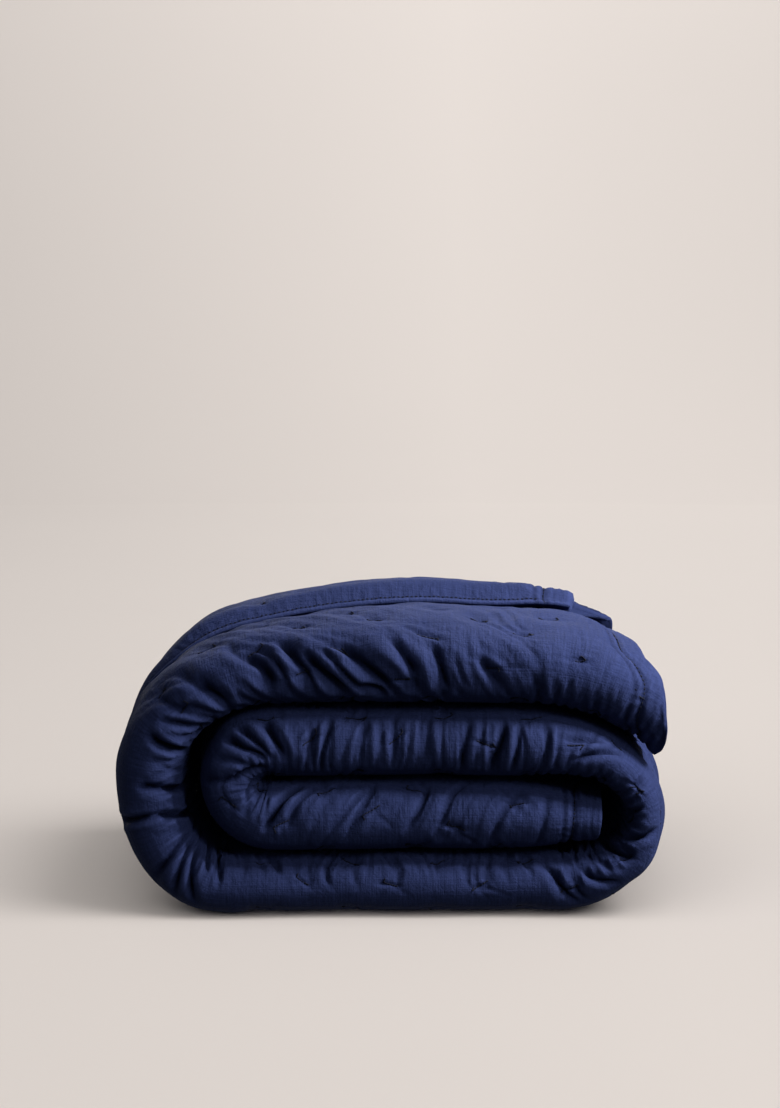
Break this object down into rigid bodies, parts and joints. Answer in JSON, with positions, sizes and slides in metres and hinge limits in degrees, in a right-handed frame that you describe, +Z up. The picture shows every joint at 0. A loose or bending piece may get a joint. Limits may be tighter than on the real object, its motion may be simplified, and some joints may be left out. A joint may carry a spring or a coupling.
{
  "type": "folded quilt",
  "caption": "Puffy tufted bed quilt in plain woven navy cloth, folded in thirds and rolled along its length into a thick pack that rests flat with its rolled layers showing at the front.",
  "frame": {"origin": "middle of the pack's box in X and Y, on the surface it rests on", "axes": "+Z up, +X along the rolled layers to the right as seen from the front, -Y towards the long front fold"},
  "size_m": [0.626, 0.5632, 0.35],
  "materials": {
    "cloth": "matte woven cloth with a soft sheen"
  },
  "bodies": {
    "root": {"quilt": "cloth"}
  },
  "joints": []
}
